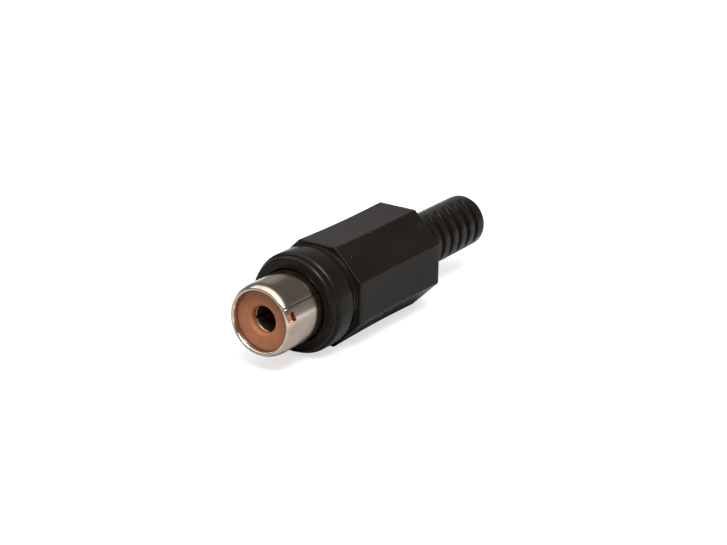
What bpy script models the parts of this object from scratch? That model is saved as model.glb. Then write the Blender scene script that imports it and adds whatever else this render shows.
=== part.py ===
"""In-line RCA cable socket: octagonal plastic barrel with a moulded strain relief, screw-in front
collar, and the jack insert that the collar holds.

Metres. Every piece is modelled along the socket's axis: local Z runs from the mouth to the tail, and
local Y points down. One parent empty lays that axis along +Y, with the mouth towards -Y and the
barrel's lower flat on the ground plane.
"""

import bmesh
import bpy
from math import cos, pi, radians, sin
from mathutils import Matrix, Vector

# Fits
FIT = 0.00008
COLLAR_HOLE_CLEARANCE = 0.0005
THREAD_CLEARANCE = 0.00008

# Ground sleeve: rolled sheet with its front edge turned in, a seam, a window and a rear flange
SLEEVE_DIAMETER = 0.0083
SLEEVE_EXPOSED = 0.0066
SHEET = 0.0003
LIP_TURN_IN = 0.00045
LIP_RADIUS = 0.00035
SLEEVE_FLANGE_WIDTH = 0.00093
SEAM_WIDTH = 0.00008
SEAM_ANGLE = 35.0
WINDOW_WIDTH = 0.0013
WINDOW_FRONT = 0.0005
WINDOW_LENGTH = 0.0012
WINDOW_ANGLE = 20.5

# Front wafer: the brown insulator seen in the mouth
WAFER_RECESS = 0.00065
WAFER_THICKNESS = 0.0011
PIN_HOLE_DIAMETER = 0.0032
COUNTERSINK_WIDTH = 0.00035
COUNTERSINK_DEPTH = 0.00045
LUG_RISE = 0.00025

# Centre contact: slotted spring tube, flange, shank and solder cup
CONTACT_WALL = 0.00025
CONTACT_MOUTH_RADIUS = 0.0017
CONTACT_GRIP_RADIUS = 0.00148
CONTACT_GRIP_PLACE = 0.0018
CONTACT_SLOTS = 4
CONTACT_SLOT_WIDTH = 0.00035
CONTACT_SLOT_LENGTH = 0.0060
CONTACT_SLOT_ANGLE = 10.0
CONTACT_FLANGE_RADIUS = 0.0025
CONTACT_FLANGE_THICKNESS = 0.0003
CONTACT_FLOOR = 0.0005
SHANK_RADIUS = 0.0012
CUP_BORE_RADIUS = 0.00085
CUP_STEM = 0.0014
CUP_LENGTH = 0.0030

# Rear wafer: carries the contact at the sleeve's rear
REAR_WAFER_THICKNESS = 0.0012
REAR_WAFER_RECESS = 0.0001

# Ground tag: washer, arm and cable clamp from one sheet
TAG_SHEET = 0.0004
TAG_HOLE_RADIUS = 0.0020
TAG_ARM_WIDTH = 0.0024
TAG_ARM_LENGTH = 0.0080
CLAMP_RADIUS = 0.0033
CLAMP_LENGTH = 0.0026
CLAMP_OPENING = 0.0040

# Front collar: flange and threaded spigot
COLLAR_FLANGE_THICKNESS = 0.00065
COLLAR_FLANGE_SETBACK = 0.00035
COLLAR_EDGE_RADIUS = 0.00035
SPIGOT_WALL = 0.0005
SPIGOT_LENGTH = 0.0056
COLLAR_CHAMFER = 0.00015

# Barrel: round ring, neck, octagonal grip and tail in one moulding
RING_WALL = 0.00112
RING_LENGTH = 0.0034
RING_EDGE_RADIUS = 0.0003
NECK_DEPTH = 0.0003
NECK_LENGTH = 0.00095
GRIP_SIDES = 8
GRIP_STEP = 0.00005
GRIP_LENGTH = 0.0180
GRIP_WAIST_DEPTH = 0.00013
GRIP_EDGE_RADIUS = 0.00045
SEAT_WIDTH = 0.00085
END_WALL = 0.0022
THROAT_LENGTH = 0.0015
CABLE_BORE_DIAMETER = 0.0048
TAIL_WALL = 0.00108
TAIL_LENGTH = 0.0165
TAIL_EDGE_RADIUS = 0.0005
TAIL_END_LAND = 0.0023
GROOVE_COUNT = 6
GROOVE_PITCH = 0.00207
GROOVE_WIDTH = 0.0006
GROOVE_DEPTH = 0.00055
GROOVE_SPINE_ANGLE = 112.5

# Facets
ROUND_STEPS = 64
SMALL_STEPS = 40
ARC_STEPS = 4
WAIST_STEPS = 8
OVERLAP = 0.0004
MERGE_DISTANCE = 0.000002
SHARP_ANGLE = 30.0

# Radii worked out from the inside out
sleeve_radius = SLEEVE_DIAMETER / 2
sleeve_bore = sleeve_radius - SHEET
wafer_radius = sleeve_bore - FIT
lip_bore = sleeve_radius - LIP_TURN_IN
pin_hole_radius = PIN_HOLE_DIAMETER / 2
collar_hole = sleeve_radius + COLLAR_HOLE_CLEARANCE
spigot_radius = collar_hole + SPIGOT_WALL
thread_bore = spigot_radius + THREAD_CLEARANCE
chamber_radius = thread_bore - SEAT_WIDTH
ring_radius = thread_bore + RING_WALL
collar_radius = ring_radius - COLLAR_FLANGE_SETBACK
grip_inradius = ring_radius + GRIP_STEP
cable_radius = CABLE_BORE_DIAMETER / 2
tail_radius = cable_radius + TAIL_WALL

# Places along the axis, counted from the mouth
window_rear = WINDOW_FRONT + WINDOW_LENGTH
wafer_rear = WAFER_RECESS + WAFER_THICKNESS
collar_face = SLEEVE_EXPOSED
flange_rear = collar_face + COLLAR_FLANGE_THICKNESS
barrel_front = flange_rear + FIT
spigot_rear = flange_rear + SPIGOT_LENGTH
sleeve_flange_front = spigot_rear + FIT
sleeve_rear = sleeve_flange_front + SHEET
seat_face = sleeve_rear + FIT
tag_front = sleeve_rear + FIT
rear_wafer_rear = sleeve_rear - REAR_WAFER_RECESS
rear_wafer_front = rear_wafer_rear - REAR_WAFER_THICKNESS
ring_rear = barrel_front + RING_LENGTH
grip_front = ring_rear + NECK_LENGTH
grip_rear = grip_front + GRIP_LENGTH
chamber_rear = grip_rear - END_WALL
tail_end = grip_rear + TAIL_LENGTH

BLACK_PLASTIC = ("black_plastic", (0.020, 0.019, 0.018, 1.0), 0.0, 0.38)
NICKEL = ("nickel_plate", (0.62, 0.58, 0.53, 1.0), 1.0, 0.25)
BROWN_BOARD = ("brown_insulator", (0.42, 0.16, 0.075, 1.0), 0.0, 0.55)
TIN = ("tin_plate", (0.66, 0.65, 0.62, 1.0), 1.0, 0.35)


def clear_scene():
    for item in list(bpy.data.objects):
        bpy.data.objects.remove(item, do_unlink=True)


def new_collection(name):
    collection = bpy.data.collections.new(name)
    bpy.context.scene.collection.children.link(collection)
    return collection


def make_material(spec):
    name, colour, metallic, roughness = spec
    material = bpy.data.materials.get(name)
    if material is None:
        material = bpy.data.materials.new(name)
        material.use_nodes = True
        shader = material.node_tree.nodes["Principled BSDF"]
        shader.inputs["Base Color"].default_value = colour
        shader.inputs["Metallic"].default_value = metallic
        shader.inputs["Roughness"].default_value = roughness
        material.diffuse_color = colour
    return material


def add_object(name, mesh, collection):
    item = bpy.data.objects.new(name, mesh)
    collection.objects.link(item)
    return item


def hide_guide(item):
    item.hide_render = True
    item.display_type = "WIRE"
    return item


def arc(centre_r, centre_z, radius, start, end, steps=ARC_STEPS):
    """Points of an arc in the (radius, axis) plane; 0 degrees points outwards, 90 to the tail."""
    points = []
    for i in range(steps + 1):
        angle = radians(start + (end - start) * i / steps)
        points.append((centre_r + radius * cos(angle), centre_z + radius * sin(angle)))
    return points


def turned(name, profile, collection, steps=ROUND_STEPS, closed=True, phase=0.0):
    """A turned solid. The profile runs down the outer side, from the tail to the mouth."""
    mesh = bpy.data.meshes.new(name)
    points = [(r * cos(phase), r * sin(phase), z) for r, z in profile]
    edges = [(i, i + 1) for i in range(len(points) - 1)]
    if closed:
        edges.append((len(points) - 1, 0))
    mesh.from_pydata(points, edges, [])
    item = add_object(name, mesh, collection)
    screw = item.modifiers.new("Turn", "SCREW")
    screw.axis = "Z"
    screw.steps = steps
    screw.render_steps = steps
    screw.use_merge_vertices = True
    screw.merge_threshold = MERGE_DISTANCE
    return item


def combine(item, other, operation, name):
    boolean = item.modifiers.new(name, "BOOLEAN")
    boolean.operation = operation
    boolean.solver = "EXACT"
    boolean.object = other
    return boolean


def box(name, size, centre, angle, collection):
    """A box turned about the axis by an angle in degrees, measured from +X towards world up."""
    mesh = bpy.data.meshes.new(name)
    bm = bmesh.new()
    bmesh.ops.create_cube(bm, size=1.0)
    turn = Matrix.Rotation(radians(-angle), 4, "Z")
    place = turn @ Matrix.Translation(Vector(centre)) @ Matrix.Diagonal(Vector((*size, 1.0)))
    bmesh.ops.transform(bm, matrix=place, verts=bm.verts)
    bm.to_mesh(mesh)
    bm.free()
    return add_object(name, mesh, collection)


def finish(item, spec):
    """Bakes the modifiers, so that the smooth shading can follow the finished faces."""
    graph = bpy.context.evaluated_depsgraph_get()
    mesh = bpy.data.meshes.new_from_object(item.evaluated_get(graph))
    mesh.name = item.name
    item.modifiers.clear()
    item.data = mesh
    mesh.materials.clear()
    mesh.materials.append(make_material(spec))
    mesh.shade_smooth()
    mesh.set_sharp_from_angle(angle=radians(SHARP_ANGLE))
    return item


def grip_profile():
    """Circumradius along the octagonal grip, slightly waisted, with rounded ends."""
    corner = 1.0 / cos(pi / GRIP_SIDES)
    edge = GRIP_EDGE_RADIUS
    outer = grip_inradius
    rear = arc(outer - edge, grip_rear - edge, edge, 90.0, 0.0)
    front = arc(outer - edge, grip_front + edge, edge, 0.0, -90.0)
    span = GRIP_LENGTH - 2 * edge
    waist = []
    for i in range(1, WAIST_STEPS):
        t = i / WAIST_STEPS
        waist.append((outer - GRIP_WAIST_DEPTH * sin(pi * t), grip_rear - edge - span * t))
    points = [(0.0, grip_rear)] + rear + waist + front + [(0.0, grip_front)]
    return [(r * corner, z) for r, z in points]


def ring_profile():
    """Round front ring and the neck behind it, run a little way into the grip."""
    edge = RING_EDGE_RADIUS
    neck = ring_radius - NECK_DEPTH
    rear = arc(ring_radius - edge, ring_rear - edge, edge, 90.0, 0.0)
    front = arc(ring_radius - edge, barrel_front + edge, edge, 0.0, -90.0)
    inside = grip_front + OVERLAP
    return [(0.0, inside), (neck, inside), (neck, ring_rear)] + rear + front + [(0.0, barrel_front)]


def tail_profile():
    edge = TAIL_EDGE_RADIUS
    end = arc(tail_radius - edge, tail_end - edge, edge, 90.0, 0.0)
    inside = grip_rear - OVERLAP
    return [(0.0, tail_end)] + end + [(tail_radius, inside), (0.0, inside)]


def bore_profile():
    """Thread bore, seat for the sleeve's flange, chamber, throat and cable hole."""
    beyond = tail_end + OVERLAP
    before = barrel_front - OVERLAP
    throat = chamber_rear + THROAT_LENGTH
    return [(0.0, beyond), (cable_radius, beyond), (cable_radius, throat), (chamber_radius, chamber_rear),
            (chamber_radius, seat_face), (thread_bore, seat_face), (thread_bore, before), (0.0, before)]


def groove_cutter(collection):
    """Discs along the tail less an oval core, so that each groove fades out at two spines."""
    mesh = bpy.data.meshes.new("groove_discs")
    bm = bmesh.new()
    for i in range(GROOVE_COUNT):
        z = tail_end - TAIL_END_LAND - GROOVE_PITCH * i
        bmesh.ops.create_cone(bm, cap_ends=True, segments=ROUND_STEPS, radius1=tail_radius + OVERLAP,
                              radius2=tail_radius + OVERLAP, depth=GROOVE_WIDTH,
                              matrix=Matrix.Translation((0.0, 0.0, z)))
    bm.to_mesh(mesh)
    bm.free()
    discs = hide_guide(add_object("groove_discs", mesh, collection))

    core_mesh = bpy.data.meshes.new("groove_core")
    bm = bmesh.new()
    bmesh.ops.create_cone(bm, cap_ends=True, segments=ROUND_STEPS, radius1=1.0, radius2=1.0,
                          depth=TAIL_LENGTH * 2, matrix=Matrix.Translation((0.0, 0.0, tail_end)))
    along = tail_radius + OVERLAP / 2
    across = tail_radius - GROOVE_DEPTH
    stretch = Matrix.Diagonal((along, across, 1.0, 1.0))
    turn = Matrix.Rotation(radians(-GROOVE_SPINE_ANGLE), 4, "Z")
    bmesh.ops.transform(bm, matrix=turn @ stretch, verts=bm.verts)
    bm.to_mesh(core_mesh)
    bm.free()
    core = hide_guide(add_object("groove_core", core_mesh, collection))
    combine(discs, core, "DIFFERENCE", "Core")
    return discs


def make_barrel(parts, cutters):
    barrel = turned("barrel", grip_profile(), parts, steps=GRIP_SIDES, closed=False, phase=pi / GRIP_SIDES)
    ring = hide_guide(turned("barrel_ring", ring_profile(), cutters, closed=False))
    tail = hide_guide(turned("barrel_tail", tail_profile(), cutters, closed=False))
    bore = hide_guide(turned("barrel_bore", bore_profile(), cutters, closed=False))
    combine(barrel, ring, "UNION", "Ring")
    combine(barrel, tail, "UNION", "Tail")
    combine(barrel, bore, "DIFFERENCE", "Bore")
    combine(barrel, groove_cutter(cutters), "DIFFERENCE", "Grooves")
    return finish(barrel, BLACK_PLASTIC)


def make_collar(parts):
    """Flange in front of the barrel and the spigot that screws into it."""
    edge = COLLAR_EDGE_RADIUS
    chamfer = COLLAR_CHAMFER
    profile = [(collar_hole, spigot_rear), (spigot_radius - chamfer, spigot_rear),
               (spigot_radius, spigot_rear - chamfer), (spigot_radius, flange_rear),
               (collar_radius, flange_rear)]
    profile += arc(collar_radius - edge, collar_face + edge, edge, 0.0, -90.0)
    profile += [(collar_hole + chamfer, collar_face), (collar_hole, collar_face + chamfer)]
    return finish(turned("front_collar", profile, parts), BLACK_PLASTIC)


def make_sleeve(parts, cutters):
    """Rolled sheet: the section is one loop, then the seam and the window are cut."""
    flange = sleeve_radius + SLEEVE_FLANGE_WIDTH
    profile = [(sleeve_bore, sleeve_rear), (flange, sleeve_rear), (flange, sleeve_flange_front),
               (sleeve_radius, sleeve_flange_front)]
    profile += arc(sleeve_radius - LIP_RADIUS, LIP_RADIUS, LIP_RADIUS, 0.0, -90.0)
    profile += [(lip_bore, (LIP_TURN_IN - LIP_RADIUS) / 2), (lip_bore, SHEET), (sleeve_bore, WINDOW_FRONT)]
    sleeve = turned("ground_sleeve", profile, parts)
    seam_length = sleeve_rear + OVERLAP * 2
    seam = box("seam_cut", (SLEEVE_DIAMETER, SEAM_WIDTH, seam_length),
               (SLEEVE_DIAMETER / 2 + OVERLAP, 0.0, sleeve_rear / 2), SEAM_ANGLE, cutters)
    window = box("window_cut", (OVERLAP * 4, WINDOW_WIDTH, WINDOW_LENGTH),
                 (sleeve_radius, 0.0, WINDOW_FRONT + WINDOW_LENGTH / 2), WINDOW_ANGLE, cutters)
    combine(sleeve, hide_guide(seam), "DIFFERENCE", "Seam")
    combine(sleeve, hide_guide(window), "DIFFERENCE", "Window")
    return finish(sleeve, NICKEL)


def make_front_wafer(parts, cutters):
    """Disc with a countersunk pin hole and a lug that stands in the sleeve's window."""
    rim = pin_hole_radius + COUNTERSINK_WIDTH
    profile = [(pin_hole_radius, wafer_rear), (wafer_radius, wafer_rear), (wafer_radius, WAFER_RECESS),
               (rim, WAFER_RECESS), (pin_hole_radius, WAFER_RECESS + COUNTERSINK_DEPTH)]
    wafer = turned("front_wafer", profile, parts)
    lug_front = max(WINDOW_FRONT, WAFER_RECESS) + FIT
    lug_rear = min(window_rear, wafer_rear) - FIT
    lug_top = wafer_radius + LUG_RISE
    lug_root = wafer_radius - OVERLAP
    lug = box("wafer_lug", (lug_top - lug_root, WINDOW_WIDTH - 2 * FIT, lug_rear - lug_front),
              ((lug_top + lug_root) / 2, 0.0, (lug_front + lug_rear) / 2), WINDOW_ANGLE, cutters)
    combine(wafer, hide_guide(lug), "UNION", "Lug")
    return finish(wafer, BROWN_BOARD)


def make_contact(parts, cutters):
    """Spring tube with a narrow grip, closed at its base, then flange, shank and solder cup."""
    front = wafer_rear + FIT
    mouth = CONTACT_MOUTH_RADIUS
    grip = CONTACT_GRIP_RADIUS
    grip_z = front + CONTACT_GRIP_PLACE
    body_z = grip_z + CONTACT_SLOT_LENGTH / 2
    flange_rear_z = rear_wafer_front - FIT
    flange_front_z = flange_rear_z - CONTACT_FLANGE_THICKNESS
    floor_z = flange_rear_z - CONTACT_FLOOR
    cup_front = rear_wafer_rear + CUP_STEM
    cup_rear = cup_front + CUP_LENGTH
    wall = CONTACT_WALL
    cup = [(0.0, cup_front), (CUP_BORE_RADIUS, cup_front), (CUP_BORE_RADIUS, cup_rear),
           (SHANK_RADIUS, cup_rear)]
    flange = [(SHANK_RADIUS, flange_rear_z), (CONTACT_FLANGE_RADIUS, flange_rear_z),
              (CONTACT_FLANGE_RADIUS, flange_front_z)]
    outside = [(mouth + wall, flange_front_z), (mouth + wall, body_z), (grip + wall, grip_z),
               (mouth + wall, front)]
    inside = [(mouth, front), (grip, grip_z), (mouth, body_z), (mouth, floor_z), (0.0, floor_z)]
    profile = cup + flange + outside + inside
    contact = turned("centre_contact", profile, parts, steps=SMALL_STEPS, closed=False)
    reach = mouth + wall + OVERLAP
    slot_length = CONTACT_SLOT_LENGTH + OVERLAP
    slot_middle = front + (CONTACT_SLOT_LENGTH - OVERLAP) / 2
    cuts = CONTACT_SLOTS // 2
    for i in range(cuts):
        slot = box(f"contact_slot_{i}", (reach * 2, CONTACT_SLOT_WIDTH, slot_length),
                   (0.0, 0.0, slot_middle), CONTACT_SLOT_ANGLE + 180.0 * i / cuts, cutters)
        combine(contact, hide_guide(slot), "DIFFERENCE", f"Slot {i}")
    cup_cut = box("cup_cut", (SHANK_RADIUS * 3, SHANK_RADIUS * 2, CUP_LENGTH + OVERLAP),
                  (0.0, -SHANK_RADIUS, (cup_front + cup_rear + OVERLAP) / 2), 0.0, cutters)
    combine(contact, hide_guide(cup_cut), "DIFFERENCE", "Cup")
    return finish(contact, TIN)


def make_rear_wafer(parts):
    hole = SHANK_RADIUS + FIT
    profile = [(hole, rear_wafer_rear), (wafer_radius, rear_wafer_rear), (wafer_radius, rear_wafer_front),
               (hole, rear_wafer_front)]
    return finish(turned("rear_wafer", profile, parts, steps=SMALL_STEPS), BROWN_BOARD)


def make_tag(parts, cutters):
    """Washer behind the sleeve's flange, an arm along the chamber and an open cable clamp."""
    tag_rear = tag_front + TAG_SHEET
    washer = chamber_radius - FIT
    washer_profile = [(TAG_HOLE_RADIUS, tag_rear), (washer, tag_rear), (washer, tag_front),
                      (TAG_HOLE_RADIUS, tag_front)]
    tag = turned("ground_tag", washer_profile, parts)
    arm_end = tag_front + TAG_ARM_LENGTH
    arm = box("tag_arm", (TAG_ARM_WIDTH, TAG_SHEET, arm_end - tag_front - TAG_SHEET / 2),
              (0.0, CLAMP_RADIUS - TAG_SHEET / 2, (arm_end + tag_front + TAG_SHEET / 2) / 2), 0.0, cutters)
    clamp_front = arm_end - CLAMP_LENGTH / 2
    clamp_rear = arm_end + CLAMP_LENGTH / 2
    inner = CLAMP_RADIUS - TAG_SHEET
    clamp_profile = [(inner, clamp_rear), (CLAMP_RADIUS, clamp_rear), (CLAMP_RADIUS, clamp_front),
                     (inner, clamp_front)]
    clamp = turned("tag_clamp", clamp_profile, cutters)
    mouth = box("clamp_mouth", (CLAMP_OPENING, CLAMP_RADIUS * 2, CLAMP_LENGTH * 2),
                (0.0, -CLAMP_RADIUS, arm_end), 0.0, cutters)
    combine(clamp, hide_guide(mouth), "DIFFERENCE", "Mouth")
    combine(tag, hide_guide(arm), "UNION", "Arm")
    combine(tag, hide_guide(clamp), "UNION", "Clamp")
    return finish(tag, TIN)


def main():
    clear_scene()
    parts = new_collection("rca_socket")
    cutters = new_collection("cutters")

    axis = bpy.data.objects.new("socket_axis", None)
    parts.objects.link(axis)
    axis.location = (0.0, -tail_end / 2, grip_inradius)
    axis.rotation_euler = (-pi / 2, 0.0, 0.0)

    pieces = [make_barrel(parts, cutters), make_collar(parts), make_sleeve(parts, cutters),
              make_front_wafer(parts, cutters), make_contact(parts, cutters), make_rear_wafer(parts),
              make_tag(parts, cutters)]
    for piece in pieces:
        piece.parent = axis


if __name__ == "__main__":
    main()
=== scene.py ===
"""Dresses the in-line RCA socket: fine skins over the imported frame, finishes, lamps and camera.

Run as a script. Lengths are in metres. The socket's axis lies along +Y with its mouth towards -Y, and
a place along it is counted from the mouth.
"""

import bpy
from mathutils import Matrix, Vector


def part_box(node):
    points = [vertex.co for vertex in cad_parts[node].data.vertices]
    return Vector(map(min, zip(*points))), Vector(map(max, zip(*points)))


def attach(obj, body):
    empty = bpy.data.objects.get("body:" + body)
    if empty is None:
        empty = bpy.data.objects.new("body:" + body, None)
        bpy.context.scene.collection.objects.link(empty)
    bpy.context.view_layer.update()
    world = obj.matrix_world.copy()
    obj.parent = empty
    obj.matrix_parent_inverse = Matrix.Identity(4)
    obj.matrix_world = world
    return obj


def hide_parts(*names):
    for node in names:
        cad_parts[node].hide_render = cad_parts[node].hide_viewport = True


bl_info = {
    "name": "Cable Socket",
    "version": (1, 0, 0),
    "blender": (4, 5, 0),
    "location": "3D View > Sidebar > Socket",
    "description": "Builds the visible pieces of an in-line cable socket and a plain studio round it",
    "category": "Object",
}

from functools import partial
from math import atan, cos, pi, radians, sin, sqrt, tan

import bmesh
import bpy
from bpy.props import FloatProperty, FloatVectorProperty, IntProperty, PointerProperty
from mathutils import Matrix, Vector

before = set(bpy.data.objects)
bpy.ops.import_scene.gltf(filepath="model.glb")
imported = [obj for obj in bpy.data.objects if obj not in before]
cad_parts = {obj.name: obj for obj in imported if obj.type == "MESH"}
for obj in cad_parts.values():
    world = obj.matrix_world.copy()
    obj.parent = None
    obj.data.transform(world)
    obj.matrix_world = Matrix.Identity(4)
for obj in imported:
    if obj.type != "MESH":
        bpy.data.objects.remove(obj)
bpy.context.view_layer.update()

BARREL_LOW, BARREL_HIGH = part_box("barrel")
AXIS_HEIGHT = (BARREL_LOW.z + BARREL_HIGH.z) / 2
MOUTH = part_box("ground_sleeve")[0].y


def node_ends(node):
    """A node's front and rear end behind the mouth."""
    low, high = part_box(node)
    return low.y - MOUTH, high.y - MOUTH


def node_radius(node):
    low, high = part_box(node)
    return (high.z - low.z) / 2


# Places and radii that the frame gives
BARREL_FRONT, TAIL_END = node_ends("barrel")
COLLAR_FACE, SPIGOT_REAR = node_ends("front_collar")
SLEEVE_REAR = node_ends("ground_sleeve")[1]
WAFER_REAR = node_ends("front_wafer")[1]
REAR_WAFER_FRONT, REAR_WAFER_REAR = node_ends("rear_wafer")
CONTACT_FRONT, CUP_REAR = node_ends("centre_contact")
GRIP_INRADIUS = node_radius("barrel")
COLLAR_RADIUS = node_radius("front_collar")
SLEEVE_FLANGE_RADIUS = node_radius("ground_sleeve")
CONTACT_FLANGE_RADIUS = node_radius("centre_contact")
WAFER_RADIUS = AXIS_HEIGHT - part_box("front_wafer")[0].z

# How finely each curve is divided
ROUND_STEPS = 160
ARC_STEPS = 8
SMALL_ARC_STEPS = 4
BEND_STEPS = 5
FLANGE_ARC_STEPS = 10
ENTRY_STEPS = 12
LIP_STEPS = 18
CORNER_STEPS = 6
FLAT_STEPS = 10
WAIST_STEPS = 24
GROOVE_STEPS = 20
SPIGOT_STEPS = 120
LEAF_STEPS = 40
LEAF_WIDTH_STEPS = 16
TUBE_STEPS = 64

# Sides of the grip, and the share of the thread's crest and root that is flat
GRIP_SIDES = 8
THREAD_FLAT = 0.15

# Distance for welding, and angles in degrees beyond which an edge is sharp or takes its bevel
MERGE_DISTANCE = 0.0000005
SHARP_ANGLE = 32.0
SEAM_BEVEL_ANGLE = 50.0

# Lamps by azimuth and elevation in degrees, width and height, power setting and tint
LAMP_DISTANCE = 0.42
LAMPS = {
    "overhead_softbox": (-10.0, 80.0, (1.2, 0.5), "softbox_power", (1.0, 0.995, 0.98)),
    "back_panel": (206.0, 24.0, (0.22, 0.16), "panel_power", (0.98, 0.93, 1.0)),
    "side_softbox": (46.0, 60.0, (0.2, 0.2), "side_power", (1.0, 0.985, 0.96)),
}

# Distances over which the paper turns white, and over which it shows in reflections; nearer the socket than
# that, the reflected paper stays dark, a painted shade round it
PAPER_RISE = (0.08, 0.5)
REFLECTED_SHADE_FADE = (0.02, 0.06)

# The room's tint, the heights of view over which its light falls off, and its strength for the camera
ROOM_TINT = (1.0, 0.99, 0.97, 1.0)
ROOM_FALL = (0.08, 0.55)
ROOM_WHITE = 1.04


def length(name, description, default):
    return FloatProperty(name=name, description=description, default=default, min=0.0, unit="LENGTH",
                         subtype="DISTANCE", precision=5)


def angle(name, description, default):
    """An angle whose default is given in degrees."""
    return FloatProperty(name=name, description=description, default=radians(default), subtype="ANGLE")


def factor(name, description, default):
    return FloatProperty(name=name, description=description, default=default, min=0.0, max=1.0,
                         subtype="FACTOR")


def number(name, description, default):
    return FloatProperty(name=name, description=description, default=default)


def count(name, description, default, least):
    return IntProperty(name=name, description=description, default=default, min=least)


def colour(name, description, default):
    return FloatVectorProperty(name=name, description=description, default=default, min=0.0, max=1.0,
                               size=3, subtype="COLOR")


class BarrelSizes(bpy.types.PropertyGroup):
    """Barrel: ring, neck, octagonal grip and ribbed tail"""

    ring_radius: length("Ring Radius", "Outer radius of the round front ring", 0.00635)
    ring_length: length("Ring Length", "Length of the front ring", 0.0034)
    ring_edge: length("Ring Edge", "Rounding of the ring's edges", 0.0006)
    thread_bore: length("Thread Bore", "Radius of the bore that takes the collar", 0.00523)
    neck_depth: length("Neck Depth", "How far the neck lies below the ring", 0.0003)
    neck_length: length("Neck Length", "Length of the neck behind the ring", 0.00095)
    grip_length: length("Grip Length", "Length of the octagonal grip", 0.018)
    grip_edge: length("Grip Edge", "Rounding of the grip's two ends", 0.00014)
    grip_corner: length("Grip Corner", "Rounding of the grip's eight corners", 0.00032)
    grip_waist: length("Grip Waist", "How far the grip's middle is drawn in", 0.00013)
    seat_width: length("Seat Width", "Step that stops the insert", 0.00085)
    seat_place: length("Seat Place", "Place of that step behind the mouth", 0.01331)
    end_wall: length("End Wall", "Plastic behind the chamber", 0.0022)
    throat_length: length("Throat Length", "Taper from the chamber to the cable bore", 0.0015)
    tail_radius: length("Tail Radius", "Outer radius of the ribbed tail", 0.00348)
    tail_edge: length("Tail Edge", "Rounding of the tail's end", 0.0005)
    cable_radius: length("Cable Radius", "Radius of the cable bore", 0.0024)
    root_fillet: length("Root Fillet", "Fillet where tail and neck meet the grip", 0.00012)
    groove_count: count("Groove Count", "Grooves round the tail", 6, 1)
    groove_pitch: length("Groove Pitch", "Distance from groove to groove", 0.00207)
    groove_width: length("Groove Width", "Width of one groove", 0.00082)
    groove_depth: length("Groove Depth", "Depth of a groove at its deepest", 0.00055)
    groove_edge: length("Groove Edge", "Softness of a groove's walls", 0.00008)
    groove_fade: length("Groove Fade", "How far the spines stand clear of the grooves", 0.0002)
    end_land: length("End Land", "Place of the last groove before the tail's end", 0.0023)
    spine_angle: angle("Spine Angle", "Where the grooves fade out", 112.5)


class CollarSizes(bpy.types.PropertyGroup):
    """Front collar: flange and threaded spigot"""

    flange_thickness: length("Flange Thickness", "Thickness of the flange", 0.00065)
    flange_edge: length("Flange Edge", "Rounding of the flange's front edge", 0.00048)
    hole_radius: length("Hole Radius", "Hole that the sleeve passes through", 0.00463)
    hole_edge: length("Hole Edge", "Rounding of the hole's edge", 0.00014)
    spigot_radius: length("Spigot Radius", "Crest radius of the thread", 0.00515)
    thread_pitch: length("Thread Pitch", "Travel in one turn", 0.001)
    thread_depth: length("Thread Depth", "Crest to root of the thread", 0.00025)
    thread_lead: length("Thread Lead", "Plain length at each end of the thread", 0.0006)


class SleeveSizes(bpy.types.PropertyGroup):
    """Ground sleeve: rolled sheet with its edge turned in"""

    radius: length("Radius", "Outer radius of the sleeve", 0.00453)
    bore: length("Bore", "Inner radius of the sleeve", 0.00385)
    sheet: length("Sheet", "Thickness of the sheet", 0.0003)
    flange_edge: length("Flange Edge", "Rounding of the rear flange", 0.00008)
    lip_length: length("Lip Length", "Length over which the wall curves in to the mouth", 0.0015)
    lip_drop: length("Lip Drop", "How far the foremost ring lies inside the wall", 0.00053)
    lip_turn_in: length("Lip Turn In", "How far the curled edge reaches in", 0.00086)
    lip_depth: length("Lip Depth", "How far the curled edge runs back", 0.0007)
    seam_width: length("Seam Width", "Gap of the long seam", 0.00008)
    seam_edge: length("Seam Edge", "Rounding along the seam", 0.00006)
    seam_angle: angle("Seam Angle", "Where the seam lies", 33.4)
    window_width: length("Window Width", "Width of the window", 0.0011)
    window_front: length("Window Front", "Front end of the window", 0.00016)
    window_length: length("Window Length", "Length of the window", 0.0012)
    window_corner: length("Window Corner", "Corner rounding of the window", 0.0001)
    window_depth: length("Window Depth", "How deep the window is cut below the wall", 0.0006)
    window_angle: angle("Window Angle", "Where the window lies", 18.5)


class InsertSizes(bpy.types.PropertyGroup):
    """Wafers and centre contact"""

    pin_hole_radius: length("Pin Hole Radius", "Hole for the plug's pin", 0.0017)
    pin_hole_rounding: length("Pin Hole Rounding", "Rounding of the hole's entry", 0.00038)
    wafer_place: length("Wafer Place", "Place of the front wafer's face behind the mouth", 0.00078)
    wafer_edge: length("Wafer Edge", "Chamfer round the wafer", 0.00008)
    lug_length: length("Lug Length", "Length of the lug in the window", 0.00068)
    lug_setback: length("Lug Setback", "How far the lug lies below the wall", 0.00035)
    lug_clearance: length("Lug Clearance", "Play of the lug in the window", 0.00008)
    contact_wall: length("Contact Wall", "Thickness of the spring tube", 0.00025)
    contact_mouth: length("Contact Mouth", "Inner radius at the spring's mouth", 0.0017)
    contact_grip: length("Contact Grip", "Inner radius where it grips the pin", 0.00148)
    contact_grip_place: length("Contact Grip Place", "Place of the grip behind its mouth", 0.0018)
    leaf_count: count("Leaf Count", "Spring leaves round the contact", 4, 2)
    leaf_gap: length("Leaf Gap", "Slot between two leaves", 0.00035)
    leaf_length: length("Leaf Length", "Length of a leaf", 0.006)
    leaf_angle: angle("Leaf Angle", "Where the first slot lies", 10.0)
    flange_thickness: length("Flange Thickness", "Thickness of the contact's flange", 0.0003)
    floor: length("Floor", "Solid floor of the spring tube", 0.0005)
    shank_radius: length("Shank Radius", "Radius of the contact's shank", 0.0012)
    cup_bore: length("Cup Bore", "Bore of the solder cup", 0.00085)
    cup_length: length("Cup Length", "Length of the solder cup", 0.003)
    running_gap: length("Running Gap", "Gap between neighbouring pieces", 0.00008)


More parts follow.
